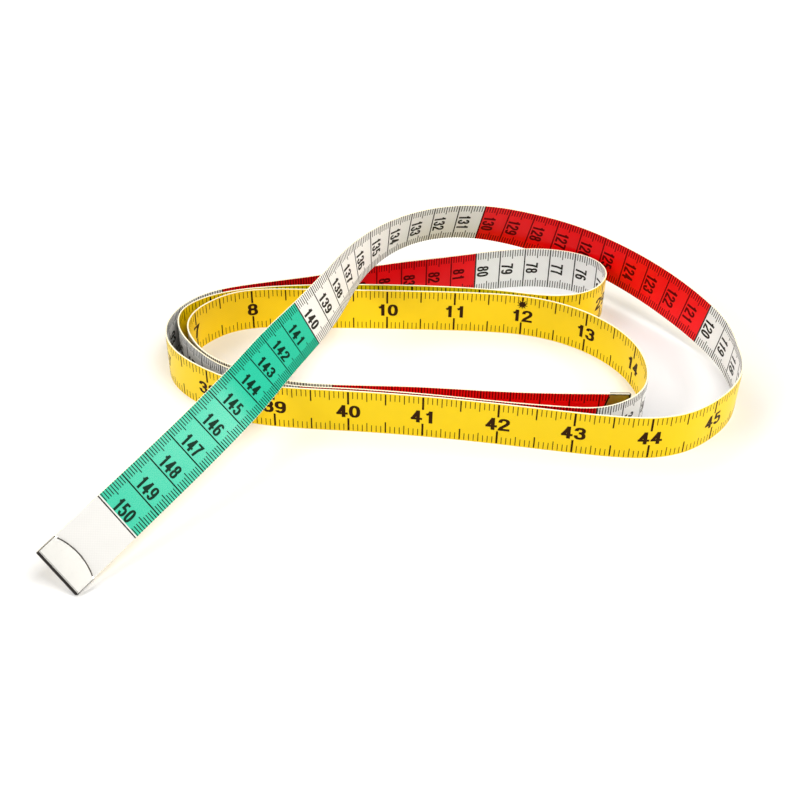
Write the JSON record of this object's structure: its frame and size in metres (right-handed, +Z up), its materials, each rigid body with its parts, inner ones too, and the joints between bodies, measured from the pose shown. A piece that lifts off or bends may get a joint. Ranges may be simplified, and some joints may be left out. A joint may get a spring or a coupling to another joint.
{
  "type": "tape measure",
  "caption": "Flexible cloth tape measure left in a loose coil on its edge, with a centimetre scale and an inch scale on opposite faces and a folded metal clip on each end.",
  "frame": {"origin": "on the floor, at the middle of the coil's overall outline", "axes": "+X along the coil's longest way, from its closed left end to its right end, +Y from the front runs to the back runs, +Z up"},
  "size_m": [0.225, 0.1762, 0.0381],
  "materials": {
    "cloth": "fine plain weave, cream",
    "yellow_coat": "semi-gloss coat over weave",
    "white_coat": "semi-gloss coat over weave",
    "red_coat": "semi-gloss coat over weave",
    "green_coat": "semi-gloss coat over weave",
    "clip_metal": "plated, satin"
  },
  "bodies": {
    "coil": {"cloth_coil": "cloth", "inch_coat_coil": "yellow_coat", "cm_panel_02": "white_coat", "cm_panel_03": "green_coat", "cm_panel_04": "white_coat", "cm_panel_05": "red_coat", "cm_panel_06": "white_coat", "cm_panel_07": "green_coat", "cm_panel_08": "white_coat", "cm_panel_09": "red_coat", "cm_panel_10": "white_coat", "cm_panel_11": "green_coat", "cm_panel_12": "white_coat", "cm_panel_13": "red_coat"},
    "start": {"cloth_start": "cloth", "inch_coat_start": "yellow_coat", "cm_panel_01": "red_coat", "start_clip": "clip_metal"},
    "arch": {"cloth_arch": "cloth", "inch_coat_arch": "yellow_coat", "cm_panel_14": "white_coat"},
    "tail": {"cloth_tail": "cloth", "inch_coat_tail": "yellow_coat", "cm_panel_15": "green_coat"},
    "tip": {"cloth_tip": "cloth", "inch_coat_tip": "yellow_coat", "cm_leader": "white_coat", "end_clip": "clip_metal"}
  },
  "joints": [
    {"name": "start_swing", "type": "hinge", "parent": "coil", "child": "start", "pos_m": [-0.03013, -0.00609, 0.00875], "axis": [0, 0, 1], "range_deg": [0, 24]},
    {"name": "arch_lift", "type": "hinge", "parent": "coil", "child": "arch", "pos_m": [0.02279, 0.08526, 0.02787], "axis": [-0.1895, 0.2154, -0.958], "range_deg": [0, 25]},
    {"name": "tail_lift", "type": "hinge", "parent": "arch", "child": "tail", "pos_m": [-0.04031, 0.01631, 0.02653], "axis": [-0.4847, 0.191, 0.8535], "range_deg": [0, 50]},
    {"name": "tip_bend", "type": "hinge", "parent": "tail", "child": "tip", "pos_m": [-0.09215, -0.0672, 0.01267], "axis": [-0.6147, 0.2683, 0.7417], "range_deg": [0, 60]}
  ]
}
